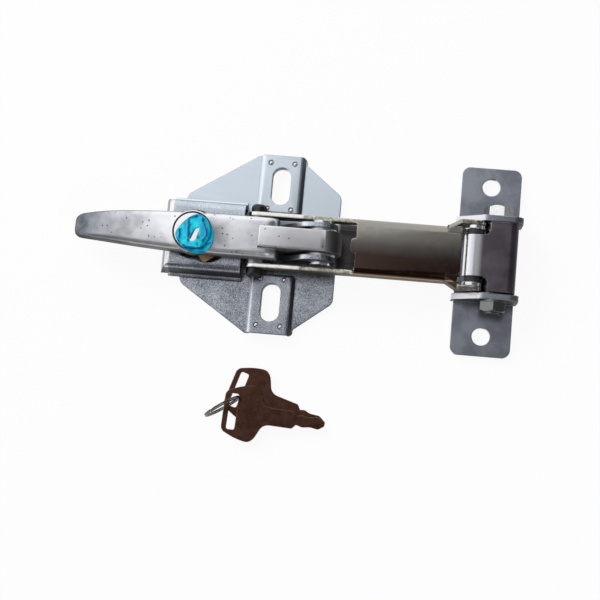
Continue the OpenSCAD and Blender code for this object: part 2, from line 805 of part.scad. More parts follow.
// Keeper: a strip with two bolt holes and two ears that carry the striker
module keeper_bracket() {
    x0 = keeper_x - keeper_w / 2;
    x1 = keeper_x + keeper_w / 2;
    ear_top = striker_z + ear_rise;
    color("lightslategray") difference() {
        union() {
            plan_view(0, keeper_sheet)
                rounded([
                    [x0, -keeper_half, keeper_round], [x1, -keeper_half, keeper_round],
                    [x1, keeper_half, keeper_round], [x0, keeper_half, keeper_round]
                ]);
            both_sides()
                side_view(keeper_in, keeper_out)
                    rounded([
                        [x0 - ear_overhang, 0, 0.8], [x1 + ear_overhang, 0, 0.8], [x1 + ear_overhang, ear_top, 5],
                        [striker_x - roller_r, ear_top, 4], [x0 - ear_overhang, keeper_sheet + 4, 1.5]
                    ]);
        }
        for (side = [-1, 1])
            translate([keeper_x, side * keeper_pitch / 2, -cut])
                cylinder(d = keeper_hole_d, h = keeper_sheet + 2 * cut);
        bar_y([striker_x, striker_z], bolt_d / 2 + pin_clear, -keeper_out - cut, keeper_out + cut);
    }
}

// Striker: a bolt through the ears with a roller on it, held by a washer and a nut that has a corner up
bolt_washer_t = 0.8;
bolt_stick_out = 0.6;
head_turn = 12;
head_af = 2 * (striker_z - keeper_sheet - hex_clear) * cos(30) / cos(30 - head_turn);
nut_r = striker_z - keeper_sheet - hex_clear / 2;
nut_af = 2 * nut_r * cos(30);

module hex_bar(af, turn, y0, y1) {
    chamfer = 1.2;
    wide = af * 0.6;
    translate([striker_x, y1, striker_z]) rotate([90, 0, 0])
        intersection() {
            rotate(turn) cylinder(d = af / cos(30), h = y1 - y0, $fn = 6);
            rotate_extrude()
                rounded([
                    [0, 0, 0], [af / 2 - 0.1, 0, 0], [wide, chamfer, 0], [wide, y1 - y0, 0], [0, y1 - y0, 0]
                ]);
        }
}

module striker_bolt() {
    nut_end = -keeper_out - bolt_washer_t - nut_h - bolt_stick_out;
    color("gainsboro") {
        bar_y([striker_x, striker_z], bolt_d / 2, nut_end, keeper_out);
        hex_bar(head_af, head_turn, keeper_out, keeper_out + head_h);
    }
}

module striker_washer() {
    color("silver") difference() {
        bar_y([striker_x, striker_z], nut_r, -keeper_out - bolt_washer_t, -keeper_out);
        bar_y([striker_x, striker_z], bolt_d / 2 + pin_clear, -keeper_out - 2 * bolt_washer_t, -keeper_out + cut);
    }
}

module striker_nut() {
    y1 = keeper_out + bolt_washer_t;
    color("gainsboro") difference() {
        mirror([0, 1, 0]) hex_bar(nut_af, 30, y1, y1 + nut_h);
        bar_y([striker_x, striker_z], bolt_d / 2 + pin_clear, -y1 - nut_h - cut, -y1 + cut);
    }
}

module striker_roller() {
    half = keeper_in - 0.2;
    color("darkgray") difference() {
        bar_y([striker_x, striker_z], roller_r, -half, half);
        bar_y([striker_x, striker_z], bolt_d / 2 + pin_clear, -half - cut, half + cut);
    }
}

// Keys: a flat T-shaped head with a slot, a shank and a notched blade, with the tip at the origin
module key_shape() {
    blade_half = 3.1;
    shank_half = 4.4;
    back_half = key_head_half - 5.3;
    neck_x = -blade_len - shank_len;
    head_front = neck_x - 3.2;
    head_back = neck_x - 13;
    difference() {
        rounded([
            [0, -1, 0], [0, 1, 0], [-4, blade_half, 0], [-9, blade_half - 0.8, 0], [-12, blade_half, 0],
            [-blade_len + 0.8, blade_half - 0.9, 0], [-blade_len - 1, shank_half, 0],
            [neck_x, shank_half, 3], [head_front, key_head_half - 0.5, key_round], [head_back, key_head_half, key_round],
            [-key_len, back_half, 2.5], [-key_len, -back_half, 2.5],
            [head_back, -key_head_half, key_round], [head_front, -key_head_half + 0.5, key_round],
            [neck_x, -shank_half, 3],
            [-blade_len - 1, -shank_half, 0], [-blade_len + 0.8, -blade_half + 0.9, 0],
            [-11, -blade_half, 0], [-7, -blade_half + 0.7, 0], [-3, -blade_half, 0]
        ]);
        translate([key_slot_x, 0]) obround(2 * key_slot_half, key_slot_w);
    }
}

module on_key_plane() {
    translate([key_tip[0], key_tip[1], 0]) rotate([0, key_pitch, key_lie]) children();
}

module key_front() {
    color("saddlebrown") on_key_plane()
        rotate(key_fan) translate([0, 0, key_t + 2 * key_gap]) linear_extrude(key_t) key_shape();
}

module key_back() {
    color("saddlebrown") on_key_plane()
        rotate(-key_fan) translate([0, 0, key_gap]) linear_extrude(key_t) key_shape();
}

// Split ring, standing on its edge through both key slots
module key_ring() {
    color("dimgray") translate([key_tip[0], key_tip[1], ring_rise])
        rotate(key_lie) translate([key_slot_x, 0, 0]) rotate(ring_turn - key_lie)
            translate([-ring_shift, 0, 0]) rotate([90, 0, 0])
                rotate_extrude() translate([ring_d / 2, 0]) circle(d = ring_wire);
}

base_plate();
pad_backing_upper();
pad_backing_lower();
lock_housing();
pivot_bracket();
pivot_pin();
pivot_clip();
pivot_washers();
handle();
lock_barrel();
lock_nut();
lock_film();
arm_pin();
arm_pin_cap();
arm_washers();
lock_plug();
lock_cam();
cam_screw();
pull_arm();
hook_pin();
hook_spacers();
hook_plate();
keeper_bracket();
striker_bolt();
striker_washer();
striker_nut();
striker_roller();
key_front();
key_back();
key_ring();
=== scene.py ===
"""A keyed draw latch for an engine cover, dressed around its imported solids.

Lengths are in metres, written as millimetres times MM. X runs from the handle's tip to the keeper, Z is up.
"""

import json
import math

import bmesh
import bpy
from mathutils import Matrix, Vector, noise


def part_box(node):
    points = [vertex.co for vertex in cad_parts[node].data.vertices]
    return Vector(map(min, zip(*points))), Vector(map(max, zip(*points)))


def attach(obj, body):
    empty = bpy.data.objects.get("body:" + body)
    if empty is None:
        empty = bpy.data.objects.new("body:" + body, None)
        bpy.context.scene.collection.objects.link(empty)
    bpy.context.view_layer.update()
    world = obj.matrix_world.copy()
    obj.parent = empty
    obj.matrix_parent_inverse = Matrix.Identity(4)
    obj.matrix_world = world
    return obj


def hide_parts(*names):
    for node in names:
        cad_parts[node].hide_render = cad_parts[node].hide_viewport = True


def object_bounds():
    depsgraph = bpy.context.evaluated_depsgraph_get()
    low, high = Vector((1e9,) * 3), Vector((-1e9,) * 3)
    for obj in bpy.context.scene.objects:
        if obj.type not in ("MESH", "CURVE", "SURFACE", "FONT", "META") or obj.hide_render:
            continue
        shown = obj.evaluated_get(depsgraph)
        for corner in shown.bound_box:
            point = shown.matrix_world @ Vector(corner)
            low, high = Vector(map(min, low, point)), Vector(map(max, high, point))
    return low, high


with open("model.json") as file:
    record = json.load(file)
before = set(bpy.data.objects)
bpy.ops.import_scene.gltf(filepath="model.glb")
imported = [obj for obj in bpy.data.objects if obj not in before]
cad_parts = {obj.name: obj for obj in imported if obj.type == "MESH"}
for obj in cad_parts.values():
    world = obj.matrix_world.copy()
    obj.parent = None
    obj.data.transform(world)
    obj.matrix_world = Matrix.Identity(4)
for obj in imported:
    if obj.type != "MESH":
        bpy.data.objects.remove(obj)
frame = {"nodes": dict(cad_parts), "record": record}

cad_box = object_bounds()
nodes = frame["nodes"]
record = frame["record"]
MM = 0.001
X, Y, Z = range(3)
X_AXIS, Y_AXIS, Z_AXIS = (Vector(axis) for axis in ((1, 0, 0), (0, 1, 0), (0, 0, 1)))


def middle_of(name):
    """The middle of a node's box."""
    low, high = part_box(name)
    return (low + high) / 2


# Places on the pull arm, for its finish and the small pieces: its web ends short of the hook's knuckle, and
# its flanges stand outside the washers
SHEET = 2 * MM
KNUCKLE_R, KNUCKLE_HALF, KNUCKLE_GAP = 5.05 * MM, 10.4 * MM, 1.3 * MM
WEB_LEN, JOG_LEN = 52.5 * MM, 7 * MM
WASHER_GAP = 0.05 * MM
WEB_RIGHT = middle_of("hook_pin").x - KNUCKLE_R - KNUCKLE_GAP
WEB_LEFT = WEB_RIGHT - WEB_LEN
JOG_START = WEB_RIGHT - JOG_LEN
ARM_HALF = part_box("arm_washers")[1].y + WASHER_GAP + SHEET


# Small helpers for shader trees

FADE_OUT = (1.0, 0.0)
MID_NOISE = (0.3, 0.7)


def plug(tree, value, socket):
    """Sets a socket to a constant, or links another socket to it."""
    if isinstance(value, bpy.types.NodeSocket):
        tree.links.new(value, socket)
    else:
        socket.default_value = value


def add(tree, kind, inputs=None, **settings):
    """Adds a node of that kind, with its settings and its inputs by name or number."""
    made = tree.nodes.new("ShaderNode" + kind)
    for name, value in settings.items():
        setattr(made, name, value)
    for key, value in (inputs or {}).items():
        plug(tree, value, made.inputs[key])
    return made


def maths(tree, operation, first, second=0.0):
    """The result of an operation on one or two values."""
    return add(tree, "Math", {0: first, 1: second}, operation=operation).outputs[0]


def plus(tree, first, second):
    """Two values added."""
    return maths(tree, "ADD", first, second)


def minus(tree, first, second):
    """The first value less the second."""
    return maths(tree, "SUBTRACT", first, second)


def times(tree, first, second):
    """Two values multiplied."""
    return maths(tree, "MULTIPLY", first, second)


def spread(tree, value, source, target=(0.0, 1.0)):
    """Maps a value smoothly from one range to another, clamped at both ends."""
    inputs = {0: value, 1: source[0], 2: source[1], 3: target[0], 4: target[1]}
    return add(tree, "MapRange", inputs, interpolation_type="SMOOTHSTEP").outputs[0]


def rgba(colour):
    """A colour with full cover, or a socket as it is."""
    if isinstance(colour, bpy.types.NodeSocket):
        return colour
    return (*colour, 1.0)


def darker(colour, share):
    """A share of a colour."""
    return [channel * share for channel in colour]


def blend(tree, factor, first, second):
    """Mixes two colours."""
    inputs = {0: factor, 6: rgba(first), 7: rgba(second)}
    return add(tree, "Mix", inputs, data_type="RGBA").outputs[2]


def ramp(tree, share, stops):
    """A colour that runs through the stops, each a place from 0 to 1 and a colour."""
    made = add(tree, "ValToRGB", {0: share})
    band = made.color_ramp
    while len(band.elements) < len(stops):
        band.elements.new(0.5)
    for element, (at, colour) in zip(band.elements, stops):
        element.position = at
        element.color = rgba(colour)
    return made.outputs[0]


def place(tree, stretch=(1, 1, 1)):
    """The point being shaded in the row frame, in metres, stretched along each axis."""
    point = add(tree, "TexCoord").outputs["Object"]
    return add(tree, "Mapping", {"Vector": point, "Scale": stretch}).outputs[0]


def along_axis(tree, axis):
    """The shaded point's place along one axis of the row frame, in metres."""
    return add(tree, "SeparateXYZ", {0: place(tree)}).outputs[axis]


def fade_along(tree, axis, source, target=(0.0, 1.0)):
    """A value that changes between two places along an axis."""
    return spread(tree, along_axis(tree, axis), source, target)


def looks_along(tree, axis):
    """How far the shaded face looks along one axis of the row frame, from -1 to 1."""
    return add(tree, "SeparateXYZ", {0: add(tree, "TexCoord").outputs["Normal"]}).outputs[axis]


def walls(tree, source, lean=0.0):
    """A mask that is 1 on steep faces and 0 on level ones; lean spares faces that look along minus X."""
    level = maths(tree, "ABSOLUTE", looks_along(tree, Z))
    return spread(tree, minus(tree, level, times(tree, looks_along(tree, X), lean)), source, FADE_OUT)


def cloud(tree, scale, detail=3.0, rough=0.55, stretch=(1, 1, 1)):
    """Soft noise from 0 to 1, with about that many features in a metre."""
    inputs = {"Vector": place(tree, stretch), "Scale": scale, "Detail": detail, "Roughness": rough}
    return add(tree, "TexNoise", inputs).outputs[0]


def spots(tree, scale, size, share):
    """Round spots: 1 in the middle of some cells of a grid that fills the space, 0 elsewhere."""
    cells = add(tree, "TexVoronoi", {"Vector": place(tree), "Scale": scale, "Randomness": 1.0})
    inside = spread(tree, cells.outputs["Distance"], (size / 2, size), FADE_OUT)
    chance = add(tree, "SeparateColor", {0: cells.outputs["Color"]}).outputs[0]
    return times(tree, inside, maths(tree, "LESS_THAN", chance, share))


def edges(tree, radius):
    """The softened normal, and a mask that is 1 on convex and concave edges."""
    soft = add(tree, "Bevel", {"Radius": radius}, samples=4).outputs[0]
    true = add(tree, "NewGeometry").outputs["Normal"]
    agree = add(tree, "VectorMath", {0: soft, 1: true}, operation="DOT_PRODUCT").outputs["Value"]
    return soft, spread(tree, agree, (0.80, 0.99), FADE_OUT)


def start(name, metallic=1.0, **constants):
    """A new material, its tree and its main shader; the constants are sockets, with _ for a space."""
    made = bpy.data.materials.new(name)
    made.use_nodes = True
    shader = made.node_tree.nodes["Principled BSDF"]
    shader.inputs["Metallic"].default_value = metallic
    for socket, value in constants.items():
        shader.inputs[socket.replace("_", " ")].default_value = value
    return made, made.node_tree, shader


def surface(tree, shader, tone, rough, height, strength, depth, normal=None):
    """Joins a colour, a roughness and a bump to the main shader."""
    plug(tree, tone, shader.inputs["Base Color"])
    plug(tree, rough, shader.inputs["Roughness"])
    bump = add(tree, "Bump", {"Strength": strength, "Distance": depth, "Height": height})
    if normal is not None:
        plug(tree, normal, bump.inputs["Normal"])
    plug(tree, bump.outputs[0], shader.inputs["Normal"])


# Materials, one function for each kind of finish

EDGE_HIGHLIGHT = (0.93, 0.94, 0.96)
WINDOW_GLINT = (0.95, 0.96, 0.97)
UNDER_ARM_SHADE = (0.05, 0.04, 0.035)
KNUCKLE_HIGHLIGHT = (0.70, 0.70, 0.74)
FOOT_SHADE, BEND_HIGHLIGHT = (0.20, 0.20, 0.23), (0.97, 0.97, 0.98)
# Painted reflection: the sheet turns paler across Y, less so above the plate. Along X the housing's end has a
# foot in painted shade and a bend with a painted highlight
REFLECTION_ACROSS = (-8 * MM, 14 * MM)
LESS_REFLECTION_ABOVE = (6 * MM, 8 * MM)
FOOT, BEND = 2.7 * MM, 5.0 * MM


def zinc_plate(name, light, dark, rough, grain=0.5, edge=0.25, edge_r=0.35 * MM, painted_edge_tone=EDGE_HIGHLIGHT, wall_shade=0.5,
               streaks=0.2, reflection_tone=None, shaded_from=None, highlight_to=None, foot_at=None):
    """Zinc plate on pressed sheet: speckled, cloudy, with rolling lines, painted shade on its walls, a
    painted highlight on faces towards the window, and painted lines along its edges: highlights, or shade
    where the edge tone is dark.
    """
    made, tree, shader = start(name)
    speckle = cloud(tree, scale=2200, rough=0.75)
    patches = cloud(tree, scale=90, detail=4.0)
    lines = cloud(tree, scale=400, detail=2.0, rough=0.5, stretch=(0.12, 2.2, 1))
    mottled = plus(tree, times(tree, speckle, grain), times(tree, patches, 1 - grain))
    tone = blend(tree, spread(tree, mottled, (0.40, 0.60)), dark, light)
    # painted reflection: paler towards plus Y, less so above the plate
    if reflection_tone:
        lower = fade_along(tree, Z, LESS_REFLECTION_ABOVE, (1.0, 0.45))
        reflection_share = times(tree, fade_along(tree, Y, REFLECTION_ACROSS), lower)
        tone = blend(tree, reflection_share, tone, reflection_tone)
    # painted shade on the plate beyond this place, where it lies under the arm
    if shaded_from is not None:
        under_arm_shade = fade_along(tree, X, (shaded_from - 1 * MM, shaded_from + 1 * MM), (0.0, 0.92))
        tone = blend(tree, under_arm_shade, tone, UNDER_ARM_SHADE)
    # painted highlight on the hook's knuckle, up to this place
    if highlight_to is not None:
        knuckle_glint = fade_along(tree, X, (highlight_to - 2 * MM, highlight_to + 1 * MM), FADE_OUT)
        tone = blend(tree, knuckle_glint, tone, KNUCKLE_HIGHLIGHT)
    # painted shade on walls, spared where they face minus X towards the window
    shaded_walls = times(tree, walls(tree, (0.25, 0.75), lean=0.8), wall_shade)
    tone = blend(tree, shaded_walls, tone, darker(dark, 0.22))
    # painted highlight on faces that look along minus X, towards the window
    lit = spread(tree, looks_along(tree, X), (-0.60, -0.20), (0.85, 0.0))
    tone = blend(tree, lit, tone, WINDOW_GLINT)
    # painted shade on the housing end's foot and a painted highlight on its bend
    if foot_at is not None:
        past_foot = fade_along(tree, X, (foot_at + FOOT, foot_at + FOOT + 0.3 * MM))
        at_end = fade_along(tree, X, (foot_at + BEND, foot_at + BEND + 0.4 * MM), FADE_OUT)
        end_shade_and_highlight = blend(tree, past_foot, FOOT_SHADE, BEND_HIGHLIGHT)
        tone = blend(tree, minus(tree, at_end, shaded_walls), tone, end_shade_and_highlight)
    # painted highlight along edges, or painted shade lines where the edge tone is dark
    soft, rim = edges(tree, edge_r)
    tone = blend(tree, times(tree, rim, edge), tone, painted_edge_tone)
    worn = spread(tree, lines, MID_NOISE, (rough * (1 - streaks), rough * (1 + streaks)))
    dull_and_shade = plus(tree, worn, times(tree, shaded_walls, 0.35))
    surface(tree, shader, tone, dull_and_shade, speckle, strength=0.45, depth=0.05 * MM, normal=soft)
    return made


BRIGHT_EDGE_HIGHLIGHT = (0.95, 0.95, 0.96)


def bright_plate(name, colour, rough, haze=0.35, edge=0.3, wall_shade=0.0, shaded_below=None):
    """Bright plating on turned steel: a hazy bloom, painted highlights on its edges, and if asked painted
    shade on its minus-Y side or on its walls.
    """
    made, tree, shader = start(name)
    bloom = cloud(tree, scale=260, detail=4.0)
    tone = blend(tree, spread(tree, bloom, (0.35, 0.75), (0.0, haze)), colour, darker(colour, 0.5))
    # painted shade on the side towards minus Y
    if shaded_below is not None:
        dull_and_shade = fade_along(tree, Y, (shaded_below - 2 * MM, shaded_below + 2 * MM), (0.85, 0.0))
        tone = blend(tree, dull_and_shade, tone, darker(colour, 0.17))
    # painted shade on steep faces
    if wall_shade:
        shaded_walls = times(tree, walls(tree, (0.70, 0.96)), wall_shade)
        tone = blend(tree, shaded_walls, tone, darker(colour, 0.1))
    # painted highlight along edges
    soft, rim = edges(tree, 0.25 * MM)
    tone = blend(tree, times(tree, rim, edge), tone, BRIGHT_EDGE_HIGHLIGHT)
    hazy = spread(tree, bloom, MID_NOISE, (rough, rough * 1.8))
    grain = cloud(tree, scale=1800, detail=2.0)
    surface(tree, shader, tone, hazy, grain, strength=0.15, depth=0.04 * MM, normal=soft)
    return made


CHROME, STAIN = (0.97, 0.98, 1.0), (0.66, 0.68, 0.71)
TIP_SHADE_DARK, TIP_SHADE_PALE = (0.14, 0.155, 0.18), (0.28, 0.30, 0.33)
NECK_TONE, ROOT_SHADE = (0.62, 0.61, 0.63), (0.11, 0.10, 0.10)
PIT_TONE, FLANK_SHADE = (0.10, 0.09, 0.10), (0.07, 0.065, 0.065)
HANDLE_EDGE_HIGHLIGHT = (0.95, 0.95, 0.95)


def cast_handle(name):
    """Satin chrome on die-cast zinc: cloudy stains, painted shade at the tip and root, greyer along the neck,
    small pits, painted highlights on its edges and painted shade on its walls.
    """
    made, tree, shader = start(name)
    tip, root = (corner.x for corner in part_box("handle"))
    stains = cloud(tree, scale=75, detail=5.0, rough=0.6)
    smudges = cloud(tree, scale=120, detail=5.0, rough=0.65)
    tone = blend(tree, spread(tree, stains, (0.46, 0.72)), CHROME, STAIN)
    # painted shade towards the tip, mottled
    tip_shade = blend(tree, spread(tree, smudges, (0.35, 0.65)), TIP_SHADE_DARK, TIP_SHADE_PALE)
    tone = blend(tree, fade_along(tree, X, (tip + 3 * MM, tip + 36 * MM), FADE_OUT), tone, tip_shade)
    tone = blend(tree, fade_along(tree, X, (root - 44 * MM, root - 22 * MM), (0.0, 0.85)), tone, NECK_TONE)
    # painted shade at the root, where the handle meets the pivot
    tone = blend(tree, fade_along(tree, X, (root - 9 * MM, root - 3 * MM)), tone, ROOT_SHADE)
    pits = spots(tree, scale=330, size=0.19, share=0.7)
    tone = blend(tree, times(tree, pits, 0.85), tone, PIT_TONE)
    # painted highlight along edges
    soft, rim = edges(tree, 0.5 * MM)
    tone = blend(tree, times(tree, rim, 0.25), tone, HANDLE_EDGE_HIGHLIGHT)
    # painted shade on the steep flanks
    shaded_walls = walls(tree, (0.35, 0.78))
    tone = blend(tree, times(tree, shaded_walls, 0.82), tone, FLANK_SHADE)
    satin = plus(tree, spread(tree, stains, MID_NOISE, (0.30, 0.44)), times(tree, shaded_walls, 0.3))
    height = minus(tree, cloud(tree, scale=900), pits)
    surface(tree, shader, tone, satin, height, strength=0.22, depth=0.10 * MM, normal=soft)
    return made


# Painted reflection across the arm, from its near side at 0 to its far side at 1: dark brown with a painted
# gold highlight line near the near side, turning to khaki towards the far side
ARM_REFLECTION = [
    (0.085, (0.055, 0.035, 0.026)),
    (0.10, (0.42, 0.28, 0.15)),
    (0.115, (0.050, 0.026, 0.020)),
    (0.38, (0.070, 0.048, 0.040)),
    (0.54, (0.15, 0.135, 0.125)),
    (0.66, (0.27, 0.26, 0.225)),
    (0.84, (0.34, 0.33, 0.285)),
    (0.95, (0.42, 0.41, 0.36)),
]
CREAM_REFLECTION, CHIP_DARK, CHIP_PALE = (0.97, 0.95, 0.88), (0.36, 0.34, 0.28), (0.72, 0.70, 0.61)
MOUTH_HIGHLIGHT, ARM_WALL_SHADE = (0.98, 0.95, 0.84), (0.10, 0.085, 0.07)
# The painted reflection lies on the web, a painted cream reflection on the flanges' edges beyond it, and
# those are smooth as far as SHINY_TO
REFLECTION_FROM, REFLECTION_TO = WEB_LEFT - 0.05 * MM, WEB_RIGHT - 1.05 * MM
FLANGE_FROM = ARM_HALF - SHEET - 0.5 * MM
SHINY_TO = 13 * MM


def arm_plating(name):
    """Glossy plating: a painted cream reflection on the cut edges, a painted highlight at the web's mouth,
    painted shade on the walls, and a painted reflection across the web from brown to khaki.
    """
    made, tree, shader = start(name)
    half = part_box("pull_arm")[1].y
    along, across = along_axis(tree, X), along_axis(tree, Y)
    from_middle = maths(tree, "ABSOLUTE", across)
    drift = times(tree, minus(tree, cloud(tree, scale=60), 0.5), 0.06)
    drift = times(tree, drift, spread(tree, from_middle, (9 * MM, 11 * MM), FADE_OUT))
    share = add(tree, "MapRange", {0: across, 1: -half, 2: half}).outputs[0]
    tone = ramp(tree, plus(tree, share, drift), ARM_REFLECTION)
    before, after = maths(tree, "LESS_THAN", along, REFLECTION_FROM), maths(tree, "GREATER_THAN", along, REFLECTION_TO)
    on_flange = maths(tree, "GREATER_THAN", from_middle, FLANGE_FROM)
    cut_edge = times(tree, plus(tree, before, after), on_flange)
    chips = cloud(tree, scale=700, detail=4.0, rough=0.7)
    chipped = blend(tree, spread(tree, chips, (0.42, 0.60)), CHIP_DARK, CHIP_PALE)
    # painted cream reflection on the cut edges up to SHINY_TO, chipped further on
    edge_tone = blend(tree, spread(tree, along, (SHINY_TO, SHINY_TO + 1 * MM)), CREAM_REFLECTION, chipped)
    tone = blend(tree, cut_edge, tone, edge_tone)
    soft, rim = edges(tree, 0.9 * MM)
    # painted highlight on the edges at the web's mouth
    mouth = spread(tree, along, (REFLECTION_FROM + 1 * MM, REFLECTION_FROM + 2 * MM), (0.9, 0.06))
    tone = blend(tree, times(tree, rim, mouth), tone, MOUTH_HIGHLIGHT)
    # painted shade on the walls
    shaded_walls = walls(tree, (0.10, 0.35))
    tone = blend(tree, times(tree, shaded_walls, 0.9), tone, ARM_WALL_SHADE)
    gloss = spread(tree, cloud(tree, scale=300), MID_NOISE, (0.13, 0.24))
    gloss = plus(tree, gloss, times(tree, shaded_walls, 0.4))
    dust = spots(tree, scale=420, size=0.10, share=0.05)
    surface(tree, shader, tone, gloss, dust, strength=0.3, depth=0.05 * MM, normal=soft)
    return made


NYLON_DARK, NYLON_PALE = (0.012, 0.012, 0.013), (0.035, 0.035, 0.037)


def moulded_black(name):
    """Black nylon with a fine moulded grain."""
    made, tree, shader = start(name, metallic=0.0)
    grain = cloud(tree, scale=2200, detail=2.0)
    tone = blend(tree, grain, NYLON_DARK, NYLON_PALE)
    rough = spread(tree, grain, MID_NOISE, (0.38, 0.55))
    surface(tree, shader, tone, rough, grain, strength=0.3, depth=0.05 * MM)
    return made


FILM_BLUE, FILM_CYAN, FILM_PAINTED_SHADE = (0.0, 0.64, 1.0), (0.0, 0.88, 1.0), (0.0, 0.05, 0.22)
SHADE_LAYER = "crease"


def blue_film(name):
    """Clear blue protective film: cyan where it lies flat, dark where its mesh stores shade: painted shade
    along creases, over the gap round the rim and towards plus X.
    """
    made, tree, shader = start(name, metallic=0.0, Transmission_Weight=0.15, IOR=1.45)
    stored = add(tree, "VertexColor", layer_name=SHADE_LAYER).outputs[0]
    crease = add(tree, "SeparateColor", {0: stored}).outputs[0]
    mottle = cloud(tree, scale=260, detail=4.0, rough=0.6)
    tone = blend(tree, spread(tree, mottle, (0.35, 0.65)), FILM_BLUE, FILM_CYAN)
    # the stored layer holds painted shade, darker at the hem and in patches too
    tone = blend(tree, crease, tone, FILM_PAINTED_SHADE)
    surface(tree, shader, tone, 0.10, mottle, strength=0.35, depth=0.20 * MM)
    return made


# Each finish of the record: the function that makes it, and what it is told
FINISHES = {
    "zinc_sheet": (zinc_plate, dict(
        light=(0.76, 0.80, 0.86), dark=(0.15, 0.17, 0.21), rough=0.32, grain=0.8, edge=0.85, edge_r=0.7 * MM,
        painted_edge_tone=(0.09, 0.09, 0.11), wall_shade=0.88, streaks=0.1, reflection_tone=(0.83, 0.93, 1.0),
        shaded_from=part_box("pivot_bracket")[1].x, foot_at=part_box("lock_housing")[0].x)),
    "backing_steel": (zinc_plate, dict(light=(0.55, 0.58, 0.62), dark=(0.30, 0.32, 0.35), rough=0.42)),
    "pin_steel": (bright_plate, dict(colour=(0.90, 0.91, 0.92), rough=0.16)),
    "washer_steel": (bright_plate, dict(colour=(0.74, 0.76, 0.79), rough=0.24)),
    "handle_zinc": (cast_handle, {}),
    "lock_chrome": (bright_plate, dict(colour=(0.95, 0.95, 0.96), rough=0.12, haze=0.1)),
    "lock_brass": (bright_plate, dict(colour=(1.0, 0.80, 0.42), rough=0.30, haze=0.15)),
    "film_blue": (blue_film, {}),
    "arm_pin_dark": (bright_plate, dict(colour=(0.07, 0.07, 0.08), rough=0.35, edge=0.08)),
    "arm_plated": (arm_plating, {}),
    "spacer_black": (moulded_black, {}),
    # the hook's dark tones stand in for the dark room it reflects: painted shade, with a painted highlight on
    # its knuckle
    "hook_zinc": (zinc_plate, dict(
        light=(0.24, 0.21, 0.24), dark=(0.16, 0.14, 0.165), rough=0.24, grain=0.25, edge=0.2, wall_shade=0.8,
        streaks=0.08, highlight_to=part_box("hook_spacers")[1].x - 1 * MM)),
    "keeper_zinc": (zinc_plate, dict(
        light=(0.46, 0.49, 0.55), dark=(0.31, 0.33, 0.38), rough=0.33, grain=0.25, edge=0.4, edge_r=0.6 * MM,
        wall_shade=0.8, streaks=0.08)),
    "bolt_steel": (bright_plate, dict(
        colour=(0.93, 0.94, 0.93), rough=0.18, haze=0.15, wall_shade=0.85, shaded_below=0.0)),
    "key_metal": (bright_plate, dict(colour=(0.17, 0.080, 0.055), rough=0.22, haze=0.15, edge=0.45)),
    "ring_steel": (bright_plate, dict(colour=(0.16, 0.13, 0.12), rough=0.18)),
}
MATERIALS = {name: make(name, **settings) for name, (make, settings) in FINISHES.items()}


def dress_solids():
    """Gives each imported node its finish, and joins its faces so that round ones shade smoothly."""
    for part in record["subparts"]:
        node = nodes[part["node"]]
        mesh = node.data
        mesh.materials.clear()
        mesh.materials.append(MATERIALS[part["material_slot"]])
        mesh.polygons.foreach_set("use_smooth", [True] * len(mesh.polygons))
        node.modifiers.new("join", "WELD").merge_threshold = 0.002 * MM
        node.modifiers.new("creases", "EDGE_SPLIT").split_angle = math.radians(32)


# Small pieces that the solids leave plain

SINK = 0.03 * MM
OVERLAP = 0.2 * MM


def piece(name, points, faces, body, slot, smooth=True):
    """A mesh piece that rides on a body and takes a finish of the record."""
    mesh = bpy.data.meshes.new(name)
    mesh.from_pydata(points, [], faces)
    mesh.polygons.foreach_set("use_smooth", [smooth] * len(mesh.polygons))
    mesh.materials.append(MATERIALS[slot])
    made = bpy.data.objects.new(name, mesh)
    bpy.context.scene.collection.objects.link(made)
    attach(made, body)
    return made


def clamp(value):
    """The value, kept from 0 to 1."""
    return min(max(value, 0), 1)


def net(rows, count):
    """Faces between rows of points, each row going round with that many points."""
    faces = []
    for row in range(rows - 1):
        here, beyond = row * count, (row + 1) * count
        for step in range(count):
            after = (step + 1) % count
            faces.append((here + step, here + after, beyond + after, beyond + step))
    return faces


def turned(profile, at, axis, side, steps=48):
    """Points and faces of a profile of (radius, height) pairs turned all the way round an axis."""
    other = axis.cross(side)
    points, faces = [], []
    rows = len(profile)
    for step in range(steps):
        angle = 2 * math.pi * step / steps
        out = math.cos(angle) * side + math.sin(angle) * other
        points += [at + axis * height + out * radius for radius, height in profile]
        here, after = step * rows, (step + 1) % steps * rows
        faces += [(here + row, here + row + 1, after + row + 1, after + row) for row in range(rows - 1)]
    return points, faces


def slab(corners, low, high):
    """Points and faces of a flat plate between two heights, its corners going round anticlockwise."""
    count = len(corners)
    points = [(x, y, z) for z in (low, high) for x, y in corners]
    return points, net(2, count) + [tuple(reversed(range(count))), tuple(range(count, 2 * count))]


def joined(parts):
    """Several lists of points and faces as one."""
    points, faces = [], []
    for more_points, more_faces in parts:
        shift = len(points)
        points += more_points
        faces += [tuple(index + shift for index in face) for face in more_faces]
    return points, faces


WELD_R, WELD_HIGH, WELD_DEEP = 1.15 * MM, 0.35 * MM, 0.48 * MM
WELD_OFF = Vector((6.15, 12)) * MM
WELD_STEPS = 5


def weld_spots():
    """A low bright nub in each dimple of the two pads."""
    slots = [mount for mount in record["mounts"] if mount["name"] == "base_slots"][0]
    half_pitch = slots["dims"]["spacing_y_mm"] / 2 * MM
    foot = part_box("base_plate")[1].z - WELD_DEEP
    turns = [math.pi / 2 * step / WELD_STEPS for step in range(WELD_STEPS + 1)]
    profile = [(WELD_R * math.cos(turn), WELD_HIGH * math.sin(turn)) for turn in turns]
    parts = []
    for pad in (-1, 1):
        for x in (-1, 1):
            for y in (-1, 1):
                at = Vector((x * WELD_OFF.x, pad * half_pitch + y * WELD_OFF.y, foot))
                parts.append(turned(profile, at, Z_AXIS, X_AXIS, 20))
    piece("weld_spots", *joined(parts), "base", "pin_steel")


